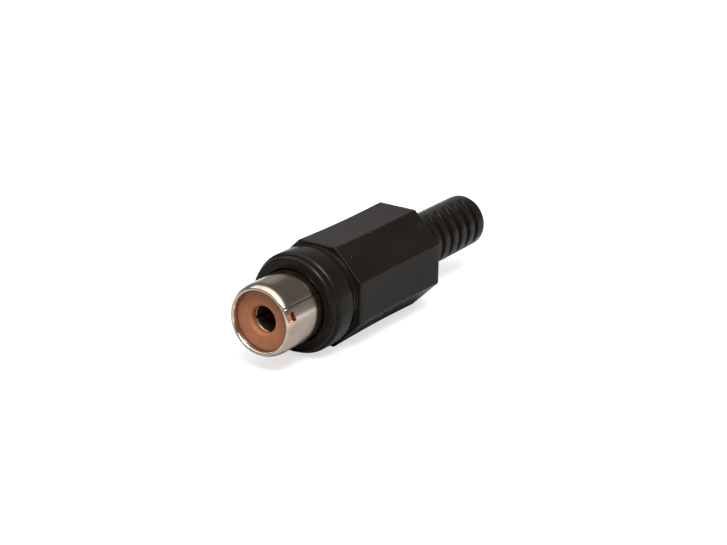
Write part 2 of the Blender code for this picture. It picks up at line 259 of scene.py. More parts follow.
class Finishes(bpy.types.PropertyGroup):
    """Colours and gloss of the five materials"""

    plastic: colour("Plastic", "Moulded black plastic", (0.0062, 0.0052, 0.0042))
    plastic_dust: colour("Plastic Dust", "Fine specks on the black plastic", (0.11, 0.105, 0.095))
    plastic_roughness: factor("Plastic Roughness", "Dullness of the black plastic", 0.25)
    plastic_mirror: factor("Plastic Mirror", "How strongly the black plastic reflects", 0.085)
    nickel: colour("Nickel", "Nickel plate", (0.465, 0.392, 0.33))
    nickel_roughness: factor("Nickel Roughness", "Dullness of the nickel plate", 0.15)
    board: colour("Board", "Brown insulating board", (0.262, 0.096, 0.043))
    board_dark: colour("Board Dark", "Darker patches in the board", (0.19, 0.066, 0.028))
    board_mirror: factor("Board Mirror", "How strongly the board reflects", 0.3)
    bronze: colour("Bronze", "Tarnished spring contact", (0.5, 0.37, 0.26))
    tin: colour("Tin", "Tin plate", (0.60, 0.58, 0.54))
    tin_roughness: factor("Tin Roughness", "Dullness of the tin plate and the bronze", 0.34)


class StudioSettings(bpy.types.PropertyGroup):
    """Camera, lamps and floor"""

    azimuth: angle("Azimuth", "Camera's turn round the socket", 33.29)
    elevation: angle("Elevation", "Camera's height above the horizon", 20.37)
    roll: angle("Roll", "Tilt of the camera about its view", 1.15)
    distance: length("Distance", "Camera's distance from its target", 0.25031)
    target: FloatVectorProperty(name="Target", description="Point in the middle of the picture",
                                default=(0.000139, -0.001277, 0.00611), size=3, subtype="XYZ", unit="LENGTH")
    lens: number("Lens", "Focal length in millimetres on a 36 mm sensor", 99.04)
    softbox_power: number("Softbox Power", "Power of the wide lamp overhead", 4.4)
    panel_power: number("Panel Power", "Power of the faint panel behind", 0.028)
    side_power: number("Side Power", "Power of the small lamp at the side", 2.9)
    horizon: number("Horizon", "Level of the room's light at eye height", 0.46)
    ceiling: number("Ceiling", "Level of the room's light overhead", 0.17)
    floor_colour: colour("Floor Colour", "Paper under the socket", (0.37, 0.37, 0.37))
    paper_glow: number("Paper Glow", "Lifts the paper near the socket to white for the camera", 0.65)
    # Painted shade: this lift fades out near the socket, so the paper there stays dark in reflections
    mirrored_glow: number("Mirrored Glow", "Lifts the paper in reflections", 0.6)
    floor_size: length("Floor Size", "Side of the paper", 8.0)


class SocketSettings(bpy.types.PropertyGroup):
    """All sizes, finishes and studio settings of the socket"""

    barrel: PointerProperty(type=BarrelSizes, name="Barrel")
    collar: PointerProperty(type=CollarSizes, name="Collar")
    sleeve: PointerProperty(type=SleeveSizes, name="Sleeve")
    insert: PointerProperty(type=InsertSizes, name="Insert")
    finishes: PointerProperty(type=Finishes, name="Finishes")
    studio: PointerProperty(type=StudioSettings, name="Studio")


# Shapes


def polar(radius, turn, place):
    """A point by its distance from the axis, its turn from +X towards up, and its place behind the mouth."""
    return Vector((radius * cos(turn), MOUTH + place, AXIS_HEIGHT + radius * sin(turn)))


def arc(centre_radius, centre_place, radius, start, end, steps=ARC_STEPS):
    """Points (radius, place) of an arc; 0 degrees points outwards and 90 to the tail."""
    points = []
    for i in range(steps + 1):
        turn = radians(start + (end - start) * i / steps)
        points.append((centre_radius + radius * cos(turn), centre_place + radius * sin(turn)))
    return points


def round_sections(profile, turns):
    """Sections of a turned form: the same radius at every turn."""
    return [(place, [radius] * len(turns)) for radius, place in profile]


def loft(bm, sections, turns, full_turn=True):
    """A closed skin through sections; each has a place and one radius for each turn."""
    rows = []
    for place, radii in sections:
        rows.append([bm.verts.new(polar(radius, turn, place)) for radius, turn in zip(radii, turns)])
    columns = len(turns)
    for i, row in enumerate(rows):
        after = rows[(i + 1) % len(rows)]
        for j in range(columns if full_turn else columns - 1):
            k = (j + 1) % columns
            bm.faces.new((row[j], row[k], after[k], after[j]))
    if not full_turn:
        bm.faces.new([row[0] for row in rows])
        bm.faces.new([row[-1] for row in reversed(rows)])


def turned(bm, profile, steps=ROUND_STEPS):
    """A closed skin of its section turned once round the axis."""
    turns = [2 * pi * i / steps for i in range(steps)]
    loft(bm, round_sections(profile, turns), turns)


def add_block(bm, size):
    """A plain block round the origin, to be shaped further; gives its points."""
    made = bmesh.ops.create_cube(bm, size=1.0)["verts"]
    bmesh.ops.scale(bm, vec=size, verts=made)
    return made


def radial_place(radius, turn, place):
    """The matrix that carries a block from the origin to its turn and place, upright on the axis."""
    return (Matrix.Translation((0.0, MOUTH + place, AXIS_HEIGHT)) @ Matrix.Rotation(-turn, 4, "Y")
            @ Matrix.Translation((radius, 0.0, 0.0)))


def smooth(mesh):
    mesh.shade_smooth()
    mesh.set_sharp_from_angle(angle=radians(SHARP_ANGLE))


def to_mesh(bm, name):
    """Welds poles, splits large caps into triangles, turns the faces outwards and shades them smooth."""
    bmesh.ops.remove_doubles(bm, verts=bm.verts, dist=MERGE_DISTANCE)
    caps = [face for face in bm.faces if len(face.verts) > 4]
    bmesh.ops.triangulate(bm, faces=caps)
    bmesh.ops.recalc_face_normals(bm, faces=bm.faces)
    mesh = bpy.data.meshes.new(name)
    bm.to_mesh(mesh)
    bm.free()
    smooth(mesh)
    return mesh


def socket_collection():
    """The collection of the finished pieces, made at its first use."""
    collection = bpy.data.collections.get("cable_socket")
    if collection is None:
        collection = bpy.data.collections.new("cable_socket")
        bpy.context.scene.collection.children.link(collection)
    return collection


def add_piece(name, mesh, material=None):
    if material is not None:
        mesh.materials.append(material)
    piece = bpy.data.objects.new(name, mesh)
    socket_collection().objects.link(piece)
    return piece


def seat(piece, body, node):
    """The piece rides on its body and stands for its node."""
    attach(piece, body)
    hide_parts(node)


def cut_away(piece, cutter, label):
    """Takes the cutter's form out of the piece, as a modifier."""
    cut = piece.modifiers.new(label, "BOOLEAN")
    cut.operation = "DIFFERENCE"
    cut.solver = "EXACT"
    cut.object = cutter


def work_in(piece):
    """Replaces the piece's modifiers with their result."""
    graph = bpy.context.evaluated_depsgraph_get()
    mesh = bpy.data.meshes.new_from_object(piece.evaluated_get(graph))
    mesh.name = piece.name
    piece.modifiers.clear()
    piece.data = mesh
    smooth(mesh)


# Nodes


def put(tree, socket, value):
    """Feeds a socket from another one, or writes a plain value into it."""
    if isinstance(value, bpy.types.NodeSocket):
        tree.links.new(value, socket)
    else:
        socket.default_value = value


def add_node(tree, kind, inputs):
    """A node whose named inputs are fed."""
    node = tree.nodes.new(kind)
    for label, value in inputs.items():
        put(tree, node.inputs[label], value)
    return node


def calculate(tree, operation, *values):
    """A Math node on sockets or plain numbers; gives its output."""
    node = tree.nodes.new("ShaderNodeMath")
    node.operation = operation
    for socket, value in zip(node.inputs, values):
        put(tree, socket, value)
    return node.outputs[0]


def hypotenuse(tree, first, second):
    """The distance that two steps at right angles make."""
    squares = [calculate(tree, "MULTIPLY", side, side) for side in (first, second)]
    return calculate(tree, "SQRT", calculate(tree, "ADD", *squares))


def blend_range(tree, value, start, end, first, last, blend="SMOOTHSTEP"):
    """Carries a value from first to last between start and end, in a smooth step unless blend is LINEAR."""
    inputs = {"Value": value, "From Min": start, "From Max": end, "To Min": first, "To Max": last}
    node = add_node(tree, "ShaderNodeMapRange", inputs)
    node.interpolation_type = blend
    return node.outputs["Result"]


# Geometry node trees


def new_tree(name, inputs):
    """A geometry tree with a geometry input, named number inputs and a material input."""
    tree = bpy.data.node_groups.new(name, "GeometryNodeTree")
    tree.interface.new_socket("Geometry", in_out="INPUT", socket_type="NodeSocketGeometry")
    kinds = {float: "NodeSocketFloat", int: "NodeSocketInt"}
    for label, value in inputs.items():
        socket = tree.interface.new_socket(label, in_out="INPUT", socket_type=kinds[type(value)])
        socket.default_value = value
    tree.interface.new_socket("Material", in_out="INPUT", socket_type="NodeSocketMaterial")
    tree.interface.new_socket("Geometry", in_out="OUTPUT", socket_type="NodeSocketGeometry")
    source = tree.nodes.new("NodeGroupInput")
    return tree, source.outputs


def end_tree(tree, geometry, sockets):
    """Realizes instances, sets the material and ends the tree."""
    realize = add_node(tree, "GeometryNodeRealizeInstances", {"Geometry": geometry})
    paint = add_node(tree, "GeometryNodeSetMaterial",
                     {"Geometry": realize.outputs["Geometry"], "Material": sockets["Material"]})
    add_node(tree, "NodeGroupOutput", {"Geometry": paint.outputs["Geometry"]})


def run_tree(piece, tree, material):
    """Runs a tree on the piece and leaves the plain result as its mesh."""
    modifier = piece.modifiers.new(tree.name, "NODES")
    modifier.node_group = tree
    for item in tree.interface.items_tree:
        if item.item_type == "SOCKET" and item.in_out == "INPUT" and item.name == "Material":
            modifier[item.identifier] = material
    piece.update_tag()
    work_in(piece)


def axis_fields(tree):
    """Fields of a point of the mesh: place along Y, distance from the axis, its turn, and X and height."""
    maths = partial(calculate, tree)
    position = tree.nodes.new("GeometryNodeInputPosition")
    split = add_node(tree, "ShaderNodeSeparateXYZ", {"Vector": position.outputs["Position"]})
    across, along, up = split.outputs
    height = maths("SUBTRACT", up, AXIS_HEIGHT)
    radius = hypotenuse(tree, across, height)
    turn = maths("ARCTAN2", height, across)
    return along, radius, turn, across, height


def move_to_radius(tree, geometry, fields, new_radius):
    """Sets each point's distance from the axis."""
    along, radius, _, across, height = fields
    maths = partial(calculate, tree)
    ratio = maths("DIVIDE", new_radius, radius)
    moved_across = maths("MULTIPLY", across, ratio)
    moved_up = maths("ADD", maths("MULTIPLY", height, ratio), AXIS_HEIGHT)
    join = add_node(tree, "ShaderNodeCombineXYZ", {"X": moved_across, "Y": along, "Z": moved_up})
    inputs = {"Geometry": geometry, "Position": join.outputs["Vector"]}
    return add_node(tree, "GeometryNodeSetPosition", inputs).outputs["Geometry"]


def groove_tree(sizes):
    """Presses grooves into the tail that fade out at two opposite spines."""
    last_groove = MOUTH + TAIL_END - sizes.end_land
    inputs = {
        "First Groove": last_groove - sizes.groove_pitch * (sizes.groove_count - 1),
        "Groove Count": sizes.groove_count,
        "Groove Pitch": sizes.groove_pitch,
        "Groove Width": sizes.groove_width,
        "Groove Edge": sizes.groove_edge,
        "Oval Length": sizes.tail_radius + sizes.groove_fade,
        "Oval Width": sizes.tail_radius - sizes.groove_depth,
        "Spine Angle": sizes.spine_angle,
        "Skin Radius": (sizes.cable_radius + sizes.tail_radius) / 2,
    }
    tree, sockets = new_tree("tail_grooves", inputs)
    maths = partial(calculate, tree)
    fields = axis_fields(tree)
    along, radius, turn, _, _ = fields
    spine_turn = maths("SUBTRACT", turn, sockets["Spine Angle"])
    across_spine = maths("MULTIPLY", sockets["Oval Width"], maths("COSINE", spine_turn))
    along_spine = maths("MULTIPLY", sockets["Oval Length"], maths("SINE", spine_turn))
    root = hypotenuse(tree, across_spine, along_spine)
    product = maths("MULTIPLY", sockets["Oval Length"], sockets["Oval Width"])
    floor = maths("MINIMUM", radius, maths("DIVIDE", product, root))

    travel = maths("SUBTRACT", along, sockets["First Groove"])
    nearest = maths("ROUND", maths("DIVIDE", travel, sockets["Groove Pitch"]))
    last = maths("SUBTRACT", sockets["Groove Count"], 1.0)
    nearest = maths("MAXIMUM", maths("MINIMUM", nearest, last), 0.0)
    centre = maths("MULTIPLY", nearest, sockets["Groove Pitch"])
    offset = maths("ABSOLUTE", maths("SUBTRACT", travel, centre))
    half = maths("MULTIPLY", sockets["Groove Width"], 0.5)
    inside = blend_range(tree, offset, maths("SUBTRACT", half, sockets["Groove Edge"]),
                         maths("ADD", half, sockets["Groove Edge"]), 1.0, 0.0)
    outer_skin = maths("GREATER_THAN", radius, sockets["Skin Radius"])
    amount = maths("MULTIPLY", inside, outer_skin)
    change = maths("MULTIPLY", maths("SUBTRACT", floor, radius), amount)
    moved = move_to_radius(tree, sockets["Geometry"], fields, maths("ADD", radius, change))
    end_tree(tree, moved, sockets)
    return tree


def thread_tree(sizes):
    """Cuts a right-hand thread into the collar's spigot."""
    inputs = {
        "Pitch": sizes.thread_pitch,
        "Depth": sizes.thread_depth,
        "Thread Front": MOUTH + COLLAR_FACE + sizes.flange_thickness + sizes.thread_lead,
        "Thread Rear": MOUTH + SPIGOT_REAR,
        "Run Out": sizes.thread_lead,
        "Skin Radius": (sizes.hole_radius + sizes.spigot_radius) / 2,
    }
    tree, sockets = new_tree("collar_thread", inputs)
    maths = partial(calculate, tree)
    fields = axis_fields(tree)
    along, radius, turn, _, _ = fields
    travel = maths("DIVIDE", along, sockets["Pitch"])
    phase = maths("FRACT", maths("ADD", travel, maths("DIVIDE", turn, 2 * pi)))
    swing = maths("SUBTRACT", maths("MULTIPLY", phase, 2.0), 1.0)
    rise = maths("ABSOLUTE", swing)
    valley = blend_range(tree, rise, THREAD_FLAT, 1.0 - THREAD_FLAT, 0.0, 1.0)
    front = blend_range(tree, along, sockets["Thread Front"],
                        maths("ADD", sockets["Thread Front"], sockets["Run Out"]), 0.0, 1.0)
    rear = blend_range(tree, along, maths("SUBTRACT", sockets["Thread Rear"], sockets["Run Out"]),
                       sockets["Thread Rear"], 1.0, 0.0)
    outer_skin = maths("GREATER_THAN", radius, sockets["Skin Radius"])
    amount = maths("MULTIPLY", maths("MULTIPLY", front, rear), outer_skin)
    depth = maths("MULTIPLY", maths("MULTIPLY", valley, sockets["Depth"]), amount)
    moved = move_to_radius(tree, sockets["Geometry"], fields, maths("SUBTRACT", radius, depth))
    end_tree(tree, moved, sockets)
    return tree


def leaf_tree(sizes):
    """Sets one spring leaf round the axis as many times as the contact has leaves."""
    inputs = {
        "Leaf Count": sizes.leaf_count,
        "First Angle": sizes.leaf_angle,
        "Axis Height": AXIS_HEIGHT,
    }
    tree, sockets = new_tree("spring_leaves", inputs)
    maths = partial(calculate, tree)
    drop = maths("MULTIPLY", sockets["Axis Height"], -1.0)
    down = add_node(tree, "ShaderNodeCombineXYZ", {"Z": drop})
    lower = add_node(tree, "GeometryNodeTransform",
                     {"Geometry": sockets["Geometry"], "Translation": down.outputs["Vector"]})
    centre = add_node(tree, "ShaderNodeCombineXYZ", {"Z": sockets["Axis Height"]})
    points = add_node(tree, "GeometryNodePoints",
                      {"Count": sockets["Leaf Count"], "Position": centre.outputs["Vector"]})

    index = tree.nodes.new("GeometryNodeInputIndex").outputs["Index"]
    step = maths("DIVIDE", 2 * pi, sockets["Leaf Count"])
    turn = maths("ADD", maths("MULTIPLY", index, step), sockets["First Angle"])
    rotation = add_node(tree, "ShaderNodeCombineXYZ", {"Y": maths("MULTIPLY", turn, -1.0)})
    place = add_node(tree, "GeometryNodeInstanceOnPoints",
                     {"Points": points.outputs["Points"], "Instance": lower.outputs["Geometry"],
                      "Rotation": rotation.outputs["Vector"]})
    end_tree(tree, place.outputs["Instances"], sockets)
    return tree


# Materials


class Finish:
    """A material under construction, with short calls for the nodes that its finish needs."""

    def __init__(self, name):
        self.material = bpy.data.materials.new(name)
        self.material.use_nodes = True
        self.tree = self.material.node_tree
        self.shader = self.tree.nodes["Principled BSDF"]
        self.object_space = self.tree.nodes.new("ShaderNodeTexCoord").outputs["Object"]

    def stretched(self, scale):
        """Object coordinates scaled along each axis, in repeats for each metre."""
        inputs = {"Scale": scale, "Vector": self.object_space}
        return add_node(self.tree, "ShaderNodeMapping", inputs).outputs["Vector"]

    def noise(self, scale, detail=4.0, roughness=0.5):
        inputs = {"Scale": 1.0, "Detail": detail, "Roughness": roughness, "Vector": self.stretched(scale)}
        return add_node(self.tree, "ShaderNodeTexNoise", inputs).outputs["Fac"]

    def cells(self, scale):
        """Distance to the nearest of scattered points, and a random number for each."""
        node = add_node(self.tree, "ShaderNodeTexVoronoi", {"Scale": 1.0, "Vector": self.stretched(scale)})
        split = add_node(self.tree, "ShaderNodeSeparateColor", {"Color": node.outputs["Color"]})
        return node.outputs["Distance"], split.outputs["Red"]

    def between(self, value, start, end, first, last):
        return blend_range(self.tree, value, start, end, first, last, blend="LINEAR")

    def mix(self, share, first, second):
        """Mixes two colours, each a socket or a plain colour."""
        node = self.tree.nodes.new("ShaderNodeMix")
        node.data_type = "RGBA"
        put(self.tree, node.inputs["Factor"], share)
        for label, value in (("A", first), ("B", second)):
            socket = next(s for s in node.inputs if s.name == label and s.type == "RGBA")
            put(self.tree, socket, value if isinstance(value, bpy.types.NodeSocket) else (*value, 1.0))
        return next(s for s in node.outputs if s.type == "RGBA")

    def bump(self, height, strength, distance, under=None):
        inputs = {"Height": height, "Strength": strength, "Distance": distance}
        if under is not None:
            inputs["Normal"] = under
        return add_node(self.tree, "ShaderNodeBump", inputs).outputs["Normal"]

    def set(self, label, value):
        put(self.tree, self.shader.inputs[label], value)

    def clouded_metal(self, cloud, stain, tint, darkest, gloss):
        """A metal whose colour and gloss drift with the cloud."""
        share = self.between(cloud, *stain, 0.0, 1.0)
        self.set("Base Color", self.mix(share, tint, shade(tint, darkest)))
        self.set("Metallic", 1.0)
        self.set("Roughness", self.between(cloud, 0.3, 0.7, *gloss))


def shade(rgb, amount):
    """A lighter or darker tone of a colour."""
    return tuple(min(1.0, channel * amount) for channel in rgb)


def black_plastic(finishes):
    """Satin moulded plastic: faint flow marks, fine grain and scattered dust specks."""
    existing = bpy.data.materials.get("black_plastic_satin")
    if existing is not None:
        return existing
    finish = Finish("black_plastic_satin")
    flow = finish.noise((260.0, 90.0, 260.0), detail=3.0)
    grain = finish.noise((5200.0, 5200.0, 5200.0), detail=2.0)
    distance, chance = finish.cells((1500.0, 1500.0, 1500.0))
    share = finish.between(flow, 0.3, 0.7, 0.0, 1.0)
    tone = finish.mix(share, shade(finishes.plastic, 0.85), shade(finishes.plastic, 1.2))
    near = finish.between(distance, 0.07, 0.12, 1.0, 0.0)
    picked = finish.between(chance, 0.86, 0.88, 0.0, 0.6)
    speck = calculate(finish.tree, "MULTIPLY", near, picked)
    finish.set("Base Color", finish.mix(speck, tone, finishes.plastic_dust))
    rough = finishes.plastic_roughness
    finish.set("Roughness", finish.between(flow, 0.25, 0.75, rough - 0.05, rough + 0.07))
    finish.set("Specular IOR Level", finishes.plastic_mirror)
    swell = finish.bump(flow, 0.06, 0.0002)
    finish.set("Normal", finish.bump(grain, 0.10, 0.00001, swell))
    return finish.material


def nickel_plate(finishes):
    """Drawn and plated sheet: faint lines round the sleeve, cloudy tarnish and fine pits."""
    finish = Finish("nickel_plate_drawn")
    cloud = finish.noise((420.0, 300.0, 420.0), detail=5.0, roughness=0.6)
    lines = finish.noise((300.0, 14000.0, 300.0), detail=3.0)
    pits = finish.noise((7000.0, 7000.0, 7000.0), detail=2.0)
    rough = finishes.nickel_roughness
    finish.clouded_metal(cloud, (0.42, 0.66), finishes.nickel, 0.80, (rough - 0.04, rough + 0.08))
    drawn = finish.bump(lines, 0.05, 0.000008)
    finish.set("Normal", finish.bump(pits, 0.06, 0.000006, drawn))
    return finish.material


def brown_board(finishes):
    """Pressed brown board: mottled colour, short fibres and a matt skin."""
    finish = Finish("brown_board_matt")
    mottle = finish.noise((900.0, 900.0, 900.0), detail=4.0)
    fibre = finish.noise((2600.0, 5200.0, 900.0), detail=3.0)
    share = finish.between(mottle, 0.3, 0.7, 0.0, 0.45)
    tone = finish.mix(share, finishes.board, finishes.board_dark)
    streak = finish.between(fibre, 0.55, 0.75, 0.0, 0.25)
    finish.set("Base Color", finish.mix(streak, tone, shade(finishes.board, 1.25)))
    finish.set("Roughness", finish.between(mottle, 0.3, 0.7, 0.5, 0.64))
    finish.set("Specular IOR Level", finishes.board_mirror)
    finish.set("Normal", finish.bump(fibre, 0.12, 0.00001))
    return finish.material


def tin_plate(finishes):
    """Tinned sheet: cloudy grey with dull patches and rolling lines."""
    finish = Finish("tin_plate_dull")
    cloud = finish.noise((1100.0, 1100.0, 1100.0), detail=4.0)
    lines = finish.noise((9000.0, 500.0, 9000.0), detail=2.0)
    rough = finishes.tin_roughness
    finish.clouded_metal(cloud, (0.35, 0.7), finishes.tin, 0.72, (rough - 0.06, rough + 0.12))
    finish.set("Normal", finish.bump(lines, 0.08, 0.000008))
    return finish.material


def dull_bronze(finishes):
    """Tarnished spring bronze: cloudy brown with dull patches."""
    finish = Finish("dull_bronze")
    cloud = finish.noise((1300.0, 700.0, 1300.0), detail=4.0)
    rough = finishes.tin_roughness
    finish.clouded_metal(cloud, (0.35, 0.7), finishes.bronze, 0.6, (rough - 0.08, rough + 0.1))
    finish.set("Normal", finish.bump(cloud, 0.1, 0.00002))
    return finish.material


# Barrel


def octagon_turns(sizes):
    """Turns for the octagon: close together at its corners and wide apart on its flats."""
    half_side = pi / GRIP_SIDES
    reach = (GRIP_INRADIUS - sizes.grip_corner) * tan(half_side)
    flat_end = atan(reach / GRIP_INRADIUS)
    turns = []
    for side in range(GRIP_SIDES):
        middle = 2 * pi * side / GRIP_SIDES
        for i in range(FLAT_STEPS):
            turns.append(middle - flat_end + 2 * flat_end * i / FLAT_STEPS)
        for i in range(CORNER_STEPS):
            turns.append(middle + flat_end + 2 * (half_side - flat_end) * i / CORNER_STEPS)
    return turns


def octagon_radius(turn, inradius, corner):
    """Distance from the axis to a round-cornered octagon with flats at 0, 45, 90 degrees and so on."""
    half_side = pi / GRIP_SIDES
    local = (turn + half_side) % (2 * half_side) - half_side
    if inradius * tan(abs(local)) <= (inradius - corner) * tan(half_side):
        return inradius / cos(local)
    centre = (inradius - corner) / cos(half_side)
    aside = half_side - abs(local)
    return centre * cos(aside) + sqrt(corner ** 2 - (centre * sin(aside)) ** 2)


def barrel_sections(sizes, turns):
    """Sections from the ring's bore over the ring, grip and tail, and back through the cable bore."""
    ring_rear = BARREL_FRONT + sizes.ring_length
    grip_front = ring_rear + sizes.neck_length
    grip_rear = grip_front + sizes.grip_length
    neck = sizes.ring_radius - sizes.neck_depth
    edge = sizes.ring_edge
    fillet = sizes.root_fillet
    chamfer = edge / 2

    ring = [(sizes.thread_bore, BARREL_FRONT + chamfer), (sizes.thread_bore + chamfer, BARREL_FRONT)]
    ring += arc(sizes.ring_radius - edge, BARREL_FRONT + edge, edge, -90.0, 0.0)
    ring += arc(sizes.ring_radius - edge, ring_rear - edge, edge, 0.0, 90.0)
    ring += arc(neck + fillet, ring_rear + fillet, fillet, 270.0, 180.0, SMALL_ARC_STEPS)
    ring += arc(neck + fillet, grip_front - fillet, fillet, 180.0, 90.0, SMALL_ARC_STEPS)
    sections = round_sections(ring, turns)

    end = sizes.grip_edge
    span = sizes.grip_length - 2 * end
    outline = arc(GRIP_INRADIUS - end, grip_front + end, end, -90.0, 0.0)
    for i in range(1, WAIST_STEPS):
        share = i / WAIST_STEPS
        outline.append((GRIP_INRADIUS - sizes.grip_waist * sin(pi * share), grip_front + end + span * share))
    outline += arc(GRIP_INRADIUS - end, grip_rear - end, end, 0.0, 90.0)
    for inradius, place in outline:
        sections.append((place, [octagon_radius(turn, inradius, sizes.grip_corner) for turn in turns]))

    tail = arc(sizes.tail_radius + fillet, grip_rear + fillet, fillet, 270.0, 180.0, SMALL_ARC_STEPS)
    # Close rows from a little before each groove to a little behind it, for the tree to press in
    last_groove = TAIL_END - sizes.end_land
    reach = sizes.groove_width / 2 + sizes.groove_edge * 1.5
    for i in reversed(range(sizes.groove_count)):
        centre = last_groove - sizes.groove_pitch * i
        for j in range(GROOVE_STEPS + 1):
            tail.append((sizes.tail_radius, centre + reach * (2 * j / GROOVE_STEPS - 1)))
    tail += arc(sizes.tail_radius - sizes.tail_edge, TAIL_END - sizes.tail_edge, sizes.tail_edge, 0.0, 90.0)
    tail += arc(sizes.cable_radius + chamfer, TAIL_END - chamfer, chamfer, 90.0, 180.0, SMALL_ARC_STEPS)
    chamber = sizes.thread_bore - sizes.seat_width
    chamber_rear = grip_rear - sizes.end_wall
    tail += [(sizes.cable_radius, chamber_rear + sizes.throat_length), (chamber, chamber_rear),
             (chamber, sizes.seat_place), (sizes.thread_bore, sizes.seat_place)]
    return sections + round_sections(tail, turns)


def make_barrel(settings):
    sizes = settings.barrel
    turns = octagon_turns(sizes)
    bm = bmesh.new()
    loft(bm, barrel_sections(sizes, turns), turns)
    piece = add_piece("barrel_moulding", to_mesh(bm, "barrel_moulding"))
    run_tree(piece, groove_tree(sizes), black_plastic(settings.finishes))
    seat(piece, "housing", "barrel")


# Collar


def make_collar(settings):
    sizes = settings.collar
    edge = sizes.flange_edge
    hole_edge = sizes.hole_edge
    flange_rear = COLLAR_FACE + sizes.flange_thickness
    chamfer = sizes.thread_depth
    profile = arc(sizes.hole_radius + hole_edge, COLLAR_FACE + hole_edge, hole_edge, 180.0, 270.0, BEND_STEPS)
    profile += arc(COLLAR_RADIUS - edge, COLLAR_FACE + edge, edge, -90.0, 0.0, FLANGE_ARC_STEPS)
    profile += [(COLLAR_RADIUS, flange_rear), (sizes.spigot_radius, flange_rear)]
    span = SPIGOT_REAR - chamfer - flange_rear
    for i in range(1, SPIGOT_STEPS + 1):
        profile.append((sizes.spigot_radius, flange_rear + span * i / SPIGOT_STEPS))
    profile += [(sizes.spigot_radius - chamfer, SPIGOT_REAR), (sizes.hole_radius, SPIGOT_REAR)]
    bm = bmesh.new()
    turned(bm, profile)
    piece = add_piece("collar_moulding", to_mesh(bm, "collar_moulding"))
    run_tree(piece, thread_tree(sizes), black_plastic(settings.finishes))
    seat(piece, "collar", "front_collar")


# Sleeve


def sleeve_profile(sizes):
    """Section of the rolled sheet: rear flange, outer wall, curled front edge and bore."""
    bore = sizes.bore
    bend = sizes.sheet / 2
    edge = sizes.flange_edge
    flange_front = SLEEVE_REAR - sizes.sheet
    profile = [(bore, SLEEVE_REAR - edge), (bore + edge, SLEEVE_REAR)]
    profile += arc(SLEEVE_FLANGE_RADIUS - edge, SLEEVE_REAR - edge, edge, 90.0, 0.0, SMALL_ARC_STEPS)
    profile += arc(SLEEVE_FLANGE_RADIUS - edge, flange_front + edge, edge, 0.0, -90.0, SMALL_ARC_STEPS)
    profile += arc(sizes.radius + bend, flange_front - bend, bend, 90.0, 180.0, BEND_STEPS)
    foremost = sizes.radius - sizes.lip_drop
    curl = sizes.lip_turn_in - sizes.lip_drop
    turns = [pi / 2 * i / LIP_STEPS for i in range(LIP_STEPS + 1)]
    profile += [(foremost + sizes.lip_drop * cos(turn), sizes.lip_length * (1 - sin(turn))) for turn in turns]
    profile += [(foremost - curl * sin(turn), sizes.lip_depth * (1 - cos(turn))) for turn in turns[1:]]
    profile.append((bore, sizes.lip_depth))
    return profile


def window_cutter(sizes, name):
    """A round-cornered block that stands in the sheet at the window."""
    middle = sizes.window_front + sizes.window_length / 2
    depth = sizes.window_depth + sizes.sheet
    bm = bmesh.new()
    add_block(bm, (depth, sizes.window_length, sizes.window_width))
    upright = [e for e in bm.edges if abs(e.verts[0].co.x - e.verts[1].co.x) > sizes.sheet]
    bmesh.ops.bevel(bm, geom=upright, offset=sizes.window_corner, segments=5, affect="EDGES", profile=0.5)
    place = radial_place(sizes.radius + sizes.sheet - depth / 2, sizes.window_angle, middle)
    bmesh.ops.transform(bm, matrix=place, verts=bm.verts)
    return add_piece(name, to_mesh(bm, name))


def make_sleeve(settings):
    sizes = settings.sleeve
    half_gap = sizes.seam_width / 2 / sizes.radius
    first = sizes.seam_angle + half_gap
    last = sizes.seam_angle + 2 * pi - half_gap
    turns = [first + (last - first) * i / ROUND_STEPS for i in range(ROUND_STEPS + 1)]
    bm = bmesh.new()
    loft(bm, round_sections(sleeve_profile(sizes), turns), turns, full_turn=False)
    piece = add_piece("sleeve_shell", to_mesh(bm, "sleeve_shell"))
    cutter = window_cutter(sizes, "sleeve_window")
    cut_away(piece, cutter, "Window")
    soften = piece.modifiers.new("Seam Edges", "BEVEL")
    soften.width = sizes.seam_edge / 2
    soften.segments = 2
    soften.limit_method = "ANGLE"
    soften.angle_limit = radians(SEAM_BEVEL_ANGLE)
    work_in(piece)
    bpy.data.objects.remove(cutter, do_unlink=True)
    piece.data.materials.clear()
    piece.data.materials.append(nickel_plate(settings.finishes))
    seat(piece, "insert", "ground_sleeve")


# Insulators and contact


def add_lug(bm, settings):
    """The block of the front wafer that stands in the sleeve's window."""
    insert = settings.insert
    sleeve = settings.sleeve
    gap = insert.lug_clearance
    top = sleeve.radius - insert.lug_setback
    root = sleeve.radius - sleeve.window_depth + gap
    middle = sleeve.window_front + gap + insert.lug_length / 2
    made = add_block(bm, (top - root, insert.lug_length, sleeve.window_width - 2 * gap))
    edges = [edge for edge in bm.edges if edge.verts[0] in made]
    rounded = bmesh.ops.bevel(bm, geom=edges, offset=gap / 2, segments=3, affect="EDGES", profile=0.5)
    place = radial_place((top + root) / 2, sleeve.window_angle, middle)
    bmesh.ops.transform(bm, matrix=place, verts=rounded["verts"])


def wafer_rim(hole, edge, front, rear):
    """Section of a wafer from its face over its rim to the rear end of its hole."""
    return [(WAFER_RADIUS - edge, front), (WAFER_RADIUS, front + edge), (WAFER_RADIUS, rear - edge),
            (WAFER_RADIUS - edge, rear), (hole + edge, rear), (hole, rear - edge)]


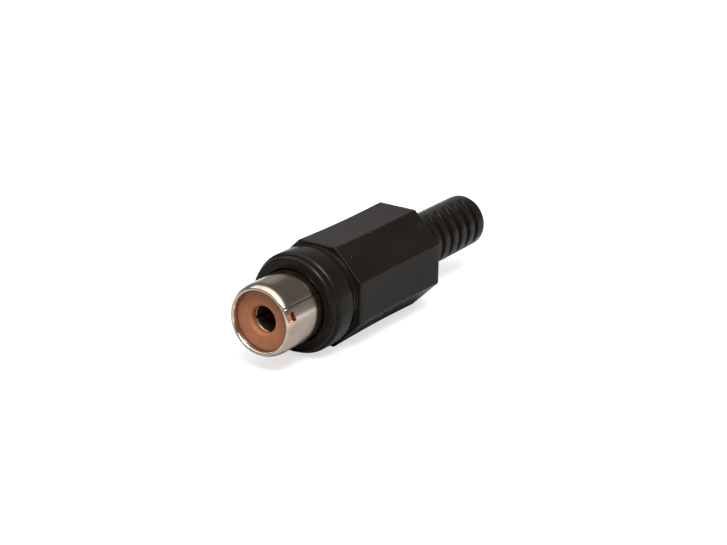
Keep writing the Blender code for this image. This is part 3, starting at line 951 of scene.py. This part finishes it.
def make_wafers(settings):
    """The front wafer with its rounded pin hole and lug, and the rear wafer round the contact's shank."""
    sizes = settings.insert
    edge = sizes.wafer_edge
    board = brown_board(settings.finishes)

    hole = sizes.pin_hole_radius
    rounding = sizes.pin_hole_rounding
    profile = arc(hole + rounding, sizes.wafer_place + rounding, rounding, 180.0, 270.0, ENTRY_STEPS)
    profile += wafer_rim(hole, edge, sizes.wafer_place, WAFER_REAR)
    bm = bmesh.new()
    add_lug(bm, settings)
    turned(bm, profile)
    front = add_piece("pin_hole_wafer", to_mesh(bm, "pin_hole_wafer"), board)
    seat(front, "insert", "front_wafer")

    hole = sizes.shank_radius + sizes.running_gap
    rim = wafer_rim(hole, edge, REAR_WAFER_FRONT, REAR_WAFER_REAR)
    bm = bmesh.new()
    turned(bm, [(hole + edge, REAR_WAFER_FRONT), *rim, (hole, REAR_WAFER_FRONT + edge)])
    rear = add_piece("shank_wafer", to_mesh(bm, "shank_wafer"), board)
    seat(rear, "insert", "rear_wafer")


def leaf_outline(sizes, share):
    """Inner radius of the spring at a share of its way from its mouth to the leaf's root."""
    grip_share = sizes.contact_grip_place / sizes.leaf_length
    drop = sizes.contact_mouth - sizes.contact_grip
    if share < grip_share:
        return sizes.contact_grip + drop * (1 + cos(pi * share / grip_share)) / 2
    beyond = (share - grip_share) / (1 - grip_share)
    return sizes.contact_grip + drop * (1 - cos(pi * beyond)) / 2


def leaf_mesh(sizes):
    """One leaf between two slots, as a closed curved strip whose root runs into the tube."""
    side = 2 * pi / sizes.leaf_count
    wall = sizes.contact_wall
    middle_radius = sizes.contact_mouth + wall / 2
    half = side / 2 - sizes.leaf_gap / 2 / middle_radius
    turns = [side / 2 - half + 2 * half * i / LEAF_WIDTH_STEPS for i in range(LEAF_WIDTH_STEPS + 1)]
    inner = []
    for i in range(LEAF_STEPS + 1):
        share = i / LEAF_STEPS
        inner.append((leaf_outline(sizes, share), CONTACT_FRONT + (sizes.leaf_length + wall) * share))
    outer = [(radius + wall, place) for radius, place in reversed(inner)]
    mouth = inner[0][0]
    chamfer = wall * 0.25
    lip = [(mouth + wall * 0.75, CONTACT_FRONT), (mouth + chamfer, CONTACT_FRONT)]
    inner[0] = (mouth, CONTACT_FRONT + chamfer)
    outer[-1] = (mouth + wall, CONTACT_FRONT + chamfer)
    bm = bmesh.new()
    loft(bm, round_sections(inner + outer + lip, turns), turns, full_turn=False)
    return to_mesh(bm, "contact_leaf")


def contact_tube(sizes):
    """Tube behind the leaves, flange, shank and solder cup, as one turned solid."""
    tube_front = CONTACT_FRONT + sizes.leaf_length
    flange_rear = REAR_WAFER_FRONT - sizes.running_gap
    flange_front = flange_rear - sizes.flange_thickness
    floor = flange_rear - sizes.floor
    cup_front = CUP_REAR - sizes.cup_length
    outer = sizes.contact_mouth + sizes.contact_wall
    edge = sizes.flange_thickness / 4
    profile = [(0.0, cup_front), (sizes.cup_bore, cup_front), (sizes.cup_bore, CUP_REAR - edge),
               (sizes.cup_bore + edge, CUP_REAR), (sizes.shank_radius - edge, CUP_REAR),
               (sizes.shank_radius, CUP_REAR - edge), (sizes.shank_radius, flange_rear)]
    profile += arc(CONTACT_FLANGE_RADIUS - edge, flange_rear - edge, edge, 90.0, 0.0, SMALL_ARC_STEPS)
    profile += arc(CONTACT_FLANGE_RADIUS - edge, flange_front + edge, edge, 0.0, -90.0, SMALL_ARC_STEPS)
    profile += [(outer, flange_front), (outer, tube_front), (sizes.contact_mouth, tube_front),
                (sizes.contact_mouth, floor), (0.0, floor)]
    bm = bmesh.new()
    turned(bm, profile, TUBE_STEPS)
    poles = {vert for vert in bm.verts if abs(vert.co.x) + abs(vert.co.z - AXIS_HEIGHT) < MERGE_DISTANCE}
    between_poles = [face for face in bm.faces if poles.issuperset(face.verts)]
    bmesh.ops.delete(bm, geom=between_poles, context="FACES_ONLY")
    return to_mesh(bm, "contact_tube")


def make_contact(settings):
    """Spring leaves set round the axis, the tube behind them, and the half-cut solder cup."""
    sizes = settings.insert
    material = dull_bronze(settings.finishes)
    leaves = add_piece("contact_leaves", leaf_mesh(sizes))
    run_tree(leaves, leaf_tree(sizes), material)

    tube = add_piece("contact_tube", contact_tube(sizes))
    cup_middle = CUP_REAR - sizes.cup_length / 2
    place = (0.0, MOUTH + cup_middle + sizes.floor / 2, AXIS_HEIGHT + sizes.shank_radius)
    bm = bmesh.new()
    made = add_block(bm, (sizes.shank_radius * 3, sizes.cup_length + sizes.floor, sizes.shank_radius * 2))
    bmesh.ops.translate(bm, verts=made, vec=place)
    knife = add_piece("cup_knife", to_mesh(bm, "cup_knife"))
    cut_away(tube, knife, "Cup")
    work_in(tube)

    bm = bmesh.new()
    bm.from_mesh(tube.data)
    bm.from_mesh(leaves.data)
    mesh = to_mesh(bm, "pin_contact")
    for spare in (knife, tube, leaves):
        bpy.data.objects.remove(spare, do_unlink=True)
    piece = add_piece("pin_contact", mesh, material)
    seat(piece, "insert", "centre_contact")


def dress_ground_tag(settings):
    """The tag's solid has its real shape, so it only takes the tinned finish."""
    material = tin_plate(settings.finishes)
    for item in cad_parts["ground_tag"].material_slots:
        item.material = material


# Studio


def direction(azimuth, elevation):
    """From the socket outwards; azimuth 0 looks at the mouth from the front."""
    return Vector((sin(azimuth) * cos(elevation), -cos(azimuth) * cos(elevation), sin(elevation)))


def add_to_studio(name, data):
    item = bpy.data.objects.new(name, data)
    bpy.context.scene.collection.objects.link(item)
    return item


def make_camera(studio):
    side = Vector((cos(studio.azimuth), sin(studio.azimuth), 0.0))
    back = direction(studio.azimuth, studio.elevation)
    up = back.cross(side)
    right = side * cos(studio.roll) + up * sin(studio.roll)
    top = back.cross(right)
    data = bpy.data.cameras.new("camera")
    data.lens = studio.lens
    data.sensor_width = 36.0
    data.sensor_fit = "HORIZONTAL"
    data.clip_start = 0.01
    data.clip_end = 50.0
    matrix = Matrix((right, top, back)).transposed().to_4x4()
    matrix.translation = Vector(studio.target) + back * studio.distance
    camera = add_to_studio("camera", data)
    camera.matrix_world = matrix
    bpy.context.scene.camera = camera


def add_lamp(name, azimuth, elevation, size, power, tint):
    """A soft lamp that faces the middle of the socket."""
    data = bpy.data.lights.new(name, "AREA")
    data.shape = "RECTANGLE"
    data.size, data.size_y = size
    data.energy = power
    data.color = tint
    way = direction(radians(azimuth), radians(elevation))
    lamp = add_to_studio(name, data)
    lamp.location = Vector((0.0, 0.0, AXIS_HEIGHT)) + way * LAMP_DISTANCE
    lamp.rotation_euler = way.to_track_quat("Z", "Y").to_euler()


def floor_material(studio):
    """Matt paper, lifted to white where the camera, a gloss or a clear piece looks at it; in reflections the
    paper near the socket is left unlifted, a painted shade.
    """
    material = bpy.data.materials.new("paper_floor")
    material.use_nodes = True
    tree = material.node_tree
    maths = partial(calculate, tree)
    shader = tree.nodes["Principled BSDF"]
    shader.inputs["Base Color"].default_value = (*studio.floor_colour, 1.0)
    shader.inputs["Roughness"].default_value = 0.9
    shader.inputs["Specular IOR Level"].default_value = 0.0
    shader.inputs["Emission Color"].default_value = (1.0, 1.0, 1.0, 1.0)
    path = tree.nodes.new("ShaderNodeLightPath")
    mirrored = maths("MAXIMUM", path.outputs["Is Glossy Ray"], path.outputs["Is Transmission Ray"])
    spot = tree.nodes.new("ShaderNodeTexCoord").outputs["Object"]
    reach = add_node(tree, "ShaderNodeVectorMath", {"Vector": spot})
    reach.operation = "LENGTH"
    white = blend_range(tree, reach.outputs["Value"], *PAPER_RISE, studio.paper_glow, 1.0)
    seen = maths("MULTIPLY", path.outputs["Is Camera Ray"], white)
    # Painted shade: in reflections the paper is lifted only away from the socket, so near it the paper stays
    # dark
    clear = blend_range(tree, reach.outputs["Value"], *REFLECTED_SHADE_FADE, 0.0, studio.mirrored_glow)
    glow = maths("MAXIMUM", seen, maths("MULTIPLY", mirrored, clear))
    tree.links.new(glow, shader.inputs["Emission Strength"])
    return material


def make_floor(studio):
    bm = bmesh.new()
    bmesh.ops.create_grid(bm, x_segments=1, y_segments=1, size=studio.floor_size / 2)
    mesh = bpy.data.meshes.new("floor")
    bm.to_mesh(mesh)
    bm.free()
    mesh.materials.append(floor_material(studio))
    floor = add_to_studio("floor", mesh)


def make_world(studio):
    """A soft room that is brighter at eye height than overhead, and white behind the paper for the camera."""
    world = bpy.data.worlds.new("studio_room")
    world.use_nodes = True
    tree = world.node_tree
    background = tree.nodes["Background"]
    background.inputs["Color"].default_value = ROOM_TINT
    view = tree.nodes.new("ShaderNodeTexCoord")
    split = add_node(tree, "ShaderNodeSeparateXYZ", {"Vector": view.outputs["Generated"]})
    level = blend_range(tree, split.outputs["Z"], *ROOM_FALL, studio.horizon, studio.ceiling)
    path = tree.nodes.new("ShaderNodeLightPath")
    white = calculate(tree, "MULTIPLY", path.outputs["Is Camera Ray"], ROOM_WHITE)
    tree.links.new(calculate(tree, "MAXIMUM", level, white), background.inputs["Strength"])
    bpy.context.scene.world = world


# Operators, panel and registration


class CABLE_SOCKET_OT_barrel(bpy.types.Operator):
    """Build the barrel with its ribbed tail"""

    bl_idname = "cable_socket.barrel"
    bl_label = "Barrel"

    def execute(self, context):
        make_barrel(context.scene.cable_socket)
        return {"FINISHED"}


class CABLE_SOCKET_OT_collar(bpy.types.Operator):
    """Build the threaded front collar"""

    bl_idname = "cable_socket.collar"
    bl_label = "Collar"

    def execute(self, context):
        make_collar(context.scene.cable_socket)
        return {"FINISHED"}


class CABLE_SOCKET_OT_sleeve(bpy.types.Operator):
    """Build the plated ground sleeve"""

    bl_idname = "cable_socket.sleeve"
    bl_label = "Sleeve"

    def execute(self, context):
        make_sleeve(context.scene.cable_socket)
        return {"FINISHED"}


class CABLE_SOCKET_OT_wafers(bpy.types.Operator):
    """Build the two brown insulating wafers"""

    bl_idname = "cable_socket.wafers"
    bl_label = "Wafers"

    def execute(self, context):
        make_wafers(context.scene.cable_socket)
        return {"FINISHED"}


class CABLE_SOCKET_OT_contact(bpy.types.Operator):
    """Build the spring contact for the plug's pin"""

    bl_idname = "cable_socket.contact"
    bl_label = "Contact"

    def execute(self, context):
        make_contact(context.scene.cable_socket)
        return {"FINISHED"}


class CABLE_SOCKET_OT_ground_tag(bpy.types.Operator):
    """Finish the ground tag"""

    bl_idname = "cable_socket.ground_tag"
    bl_label = "Ground Tag"

    def execute(self, context):
        dress_ground_tag(context.scene.cable_socket)
        return {"FINISHED"}


class CABLE_SOCKET_OT_stage(bpy.types.Operator):
    """Set up the floor, lamps and camera"""

    bl_idname = "cable_socket.stage"
    bl_label = "Stage"

    def execute(self, context):
        studio = context.scene.cable_socket.studio
        make_world(studio)
        make_floor(studio)
        for name, (azimuth, elevation, size, power, tint) in LAMPS.items():
            add_lamp(name, azimuth, elevation, size, getattr(studio, power), tint)
        make_camera(studio)
        context.scene.view_settings.view_transform = "Standard"
        return {"FINISHED"}


class CABLE_SOCKET_PT_panel(bpy.types.Panel):
    """Lists the socket's pieces and sizes"""

    bl_idname = "CABLE_SOCKET_PT_panel"
    bl_label = "Cable Socket"
    bl_space_type = "VIEW_3D"
    bl_region_type = "UI"
    bl_category = "Socket"

    def draw(self, context):
        settings = context.scene.cable_socket
        for operator in OPERATORS:
            self.layout.operator(operator.bl_idname)
        for title in SETTING_GROUPS:
            group = getattr(settings, title)
            box = self.layout.box()
            box.label(text=title.title())
            for name in group.bl_rna.properties.keys():
                if name not in {"rna_type", "name"}:
                    box.prop(group, name)


SETTING_GROUPS = ("barrel", "collar", "sleeve", "insert", "finishes", "studio")
OPERATORS = (CABLE_SOCKET_OT_barrel, CABLE_SOCKET_OT_collar, CABLE_SOCKET_OT_sleeve, CABLE_SOCKET_OT_wafers,
             CABLE_SOCKET_OT_contact, CABLE_SOCKET_OT_ground_tag, CABLE_SOCKET_OT_stage)
CLASSES = (BarrelSizes, CollarSizes, SleeveSizes, InsertSizes, Finishes, StudioSettings, SocketSettings,
           *OPERATORS, CABLE_SOCKET_PT_panel)


def register():
    for item in CLASSES:
        bpy.utils.register_class(item)
    bpy.types.Scene.cable_socket = PointerProperty(type=SocketSettings)


def unregister():
    del bpy.types.Scene.cable_socket
    for item in reversed(CLASSES):
        bpy.utils.unregister_class(item)


def main():
    register()
    bpy.ops.cable_socket.barrel()
    bpy.ops.cable_socket.collar()
    bpy.ops.cable_socket.sleeve()
    bpy.ops.cable_socket.wafers()
    bpy.ops.cable_socket.contact()
    bpy.ops.cable_socket.ground_tag()
    bpy.ops.cable_socket.stage()


if __name__ == "__main__":
    main()
